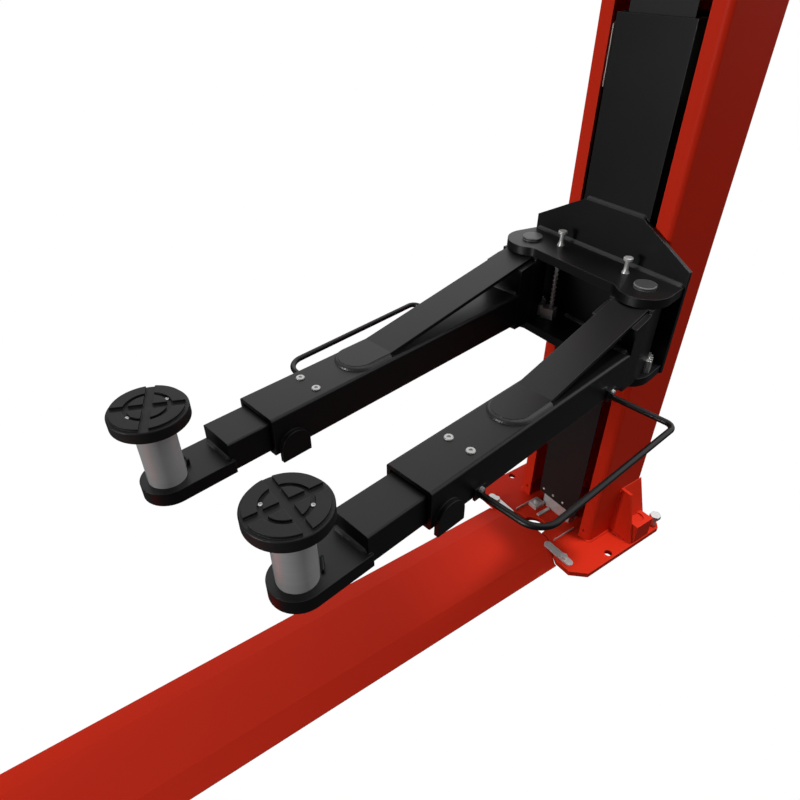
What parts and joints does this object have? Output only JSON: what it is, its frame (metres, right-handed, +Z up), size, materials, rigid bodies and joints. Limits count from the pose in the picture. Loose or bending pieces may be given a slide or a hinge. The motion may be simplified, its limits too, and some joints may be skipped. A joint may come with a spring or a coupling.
{
  "type": "two post car lift",
  "caption": "Two post vehicle lift on a floor beam, with carriages in open columns, telescopic swing arms, toothed arm restraints, foot guards and round rubber pads.",
  "frame": {"origin": "on the floor, under the middle of the floor beam, midway between the posts", "axes": "+X from post to post towards the right post, +Y along the vehicle from the short arms to the long ones, +Z up"},
  "size_m": [3.2604, 0.7451, 2.708],
  "materials": {
    "red_powder": "satin red powder coat",
    "black_powder": "satin black powder coat",
    "cover_plastic": "black sheet",
    "guide_plastic": "off-white guide plastic",
    "zinc": "bright zinc plate",
    "bright_steel": "turned and polished steel",
    "pad_rubber": "moulded black rubber"
  },
  "bodies": {
    "frame": {"base_plates": "red_powder", "floor_beam": "red_powder", "column_caps": "red_powder", "foot_brackets": "red_powder", "levelling_blocks": "red_powder", "levelling_bolts": "zinc", "clamp_bars": "zinc", "cover_strip_feet": "zinc", "right_column": "red_powder", "right_cover_strip": "cover_plastic", "left_column": "red_powder", "left_cover_strip": "cover_plastic"},
    "right_carriage": {"right_carriage": "black_powder", "right_slide_blocks": "guide_plastic", "right_hinge_plates": "black_powder", "right_pivot_pins": "bright_steel", "right_front_lock_spring": "zinc", "right_rear_lock_spring": "zinc"},
    "right_front_arm": {"right_front_arm_root": "black_powder", "right_front_gear_sector": "zinc", "right_front_outer_tube": "black_powder", "right_front_foot_guard": "black_powder"},
    "right_front_extension": {"right_front_inner_arm": "black_powder"},
    "right_front_stub": {"right_front_pad_stub": "bright_steel"},
    "right_front_pad": {"right_front_pad": "pad_rubber"},
    "right_front_lock": {"right_front_lock_pin": "zinc"},
    "right_rear_arm": {"right_rear_arm_root": "black_powder", "right_rear_gear_sector": "zinc", "right_rear_outer_tube": "black_powder", "right_rear_foot_guard": "black_powder"},
    "right_rear_extension": {"right_rear_inner_arm": "black_powder"},
    "right_rear_stub": {"right_rear_pad_stub": "bright_steel"},
    "right_rear_pad": {"right_rear_pad": "pad_rubber"},
    "right_rear_lock": {"right_rear_lock_pin": "zinc"},
    "left_carriage": {"left_carriage": "black_powder", "left_slide_blocks": "guide_plastic", "left_hinge_plates": "black_powder", "left_pivot_pins": "bright_steel", "left_front_lock_spring": "zinc", "left_rear_lock_spring": "zinc"},
    "left_front_arm": {"left_front_arm_root": "black_powder", "left_front_gear_sector": "zinc", "left_front_outer_tube": "black_powder", "left_front_foot_guard": "black_powder"},
    "left_front_extension": {"left_front_inner_arm": "black_powder"},
    "left_front_stub": {"left_front_pad_stub": "bright_steel"},
    "left_front_pad": {"left_front_pad": "pad_rubber"},
    "left_front_lock": {"left_front_lock_pin": "zinc"},
    "left_rear_arm": {"left_rear_arm_root": "black_powder", "left_rear_gear_sector": "zinc", "left_rear_outer_tube": "black_powder", "left_rear_foot_guard": "black_powder"},
    "left_rear_extension": {"left_rear_inner_arm": "black_powder"},
    "left_rear_stub": {"left_rear_pad_stub": "bright_steel"},
    "left_rear_pad": {"left_rear_pad": "pad_rubber"},
    "left_rear_lock": {"left_rear_lock_pin": "zinc"}
  },
  "joints": [
    {"name": "right_lift", "type": "slide", "parent": "frame", "child": "right_carriage", "axis": [0, 0, 1], "range_m": [-0.57, 1.1]},
    {"name": "right_front_swing", "type": "hinge", "parent": "right_carriage", "child": "right_front_arm", "pos_m": [1.324, -0.16, 0.7475], "axis": [0, 0, 1], "range_deg": [-10, 73]},
    {"name": "right_front_extend", "type": "slide", "parent": "right_front_arm", "child": "right_front_extension", "axis": [-0.9877, -0.1564, 0], "range_m": [0, 0.3]},
    {"name": "right_front_stub_lift", "type": "slide", "parent": "right_front_extension", "child": "right_front_stub", "axis": [0, 0, 1], "range_m": [0, 0.05]},
    {"name": "right_front_pad_turn", "type": "hinge", "parent": "right_front_stub", "child": "right_front_pad", "pos_m": [0.44693, -0.29891, 0.835], "axis": [0, 0, 1], "continuous": true},
    {"name": "right_front_lock_pull", "type": "slide", "parent": "right_carriage", "child": "right_front_lock", "axis": [0, 0, 1], "range_m": [0, 0.016], "stiffness_N_per_m": 800, "springref_m": -0.01, "deforming": ["right_front_lock_spring"]},
    {"name": "right_rear_swing", "type": "hinge", "parent": "right_carriage", "child": "right_rear_arm", "pos_m": [1.324, 0.16, 0.7475], "axis": [0, 0, 1], "range_deg": [-91, 10]},
    {"name": "right_rear_extend", "type": "slide", "parent": "right_rear_arm", "child": "right_rear_extension", "axis": [-0.9877, -0.1564, 0], "range_m": [0, 0.35]},
    {"name": "right_rear_stub_lift", "type": "slide", "parent": "right_rear_extension", "child": "right_rear_stub", "axis": [0, 0, 1], "range_m": [0, 0.05]},
    {"name": "right_rear_pad_turn", "type": "hinge", "parent": "right_rear_stub", "child": "right_rear_pad", "pos_m": [0.36693, 0.00842, 0.835], "axis": [0, 0, 1], "continuous": true},
    {"name": "right_rear_lock_pull", "type": "slide", "parent": "right_carriage", "child": "right_rear_lock", "axis": [0, 0, 1], "range_m": [0, 0.016], "stiffness_N_per_m": 800, "springref_m": -0.01, "deforming": ["right_rear_lock_spring"]},
    {"name": "left_lift", "type": "slide", "parent": "frame", "child": "left_carriage", "axis": [0, 0, 1], "range_m": [-0.57, 1.1]},
    {"name": "left_front_swing", "type": "hinge", "parent": "left_carriage", "child": "left_front_arm", "pos_m": [-1.324, -0.16, 0.7475], "axis": [0, 0, -1], "range_deg": [-10, 73]},
    {"name": "left_front_extend", "type": "slide", "parent": "left_front_arm", "child": "left_front_extension", "axis": [0.9877, -0.1564, 0], "range_m": [0, 0.3]},
    {"name": "left_front_stub_lift", "type": "slide", "parent": "left_front_extension", "child": "left_front_stub", "axis": [0, 0, 1], "range_m": [0, 0.05]},
    {"name": "left_front_pad_turn", "type": "hinge", "parent": "left_front_stub", "child": "left_front_pad", "pos_m": [-0.44693, -0.29891, 0.835], "axis": [0, 0, 1], "continuous": true},
    {"name": "left_front_lock_pull", "type": "slide", "parent": "left_carriage", "child": "left_front_lock", "axis": [0, 0, 1], "range_m": [0, 0.016], "stiffness_N_per_m": 800, "springref_m": -0.01, "deforming": ["left_front_lock_spring"]},
    {"name": "left_rear_swing", "type": "hinge", "parent": "left_carriage", "child": "left_rear_arm", "pos_m": [-1.324, 0.16, 0.7475], "axis": [0, 0, -1], "range_deg": [-91, 10]},
    {"name": "left_rear_extend", "type": "slide", "parent": "left_rear_arm", "child": "left_rear_extension", "axis": [0.9877, -0.1564, 0], "range_m": [0, 0.35]},
    {"name": "left_rear_stub_lift", "type": "slide", "parent": "left_rear_extension", "child": "left_rear_stub", "axis": [0, 0, 1], "range_m": [0, 0.05]},
    {"name": "left_rear_pad_turn", "type": "hinge", "parent": "left_rear_stub", "child": "left_rear_pad", "pos_m": [-0.36693, 0.00842, 0.835], "axis": [0, 0, 1], "continuous": true},
    {"name": "left_rear_lock_pull", "type": "slide", "parent": "left_carriage", "child": "left_rear_lock", "axis": [0, 0, 1], "range_m": [0, 0.016], "stiffness_N_per_m": 800, "springref_m": -0.01, "deforming": ["left_rear_lock_spring"]}
  ],
  "couplings": [
    {"joint": "left_lift", "follows": "right_lift", "ratio": 1}
  ]
}
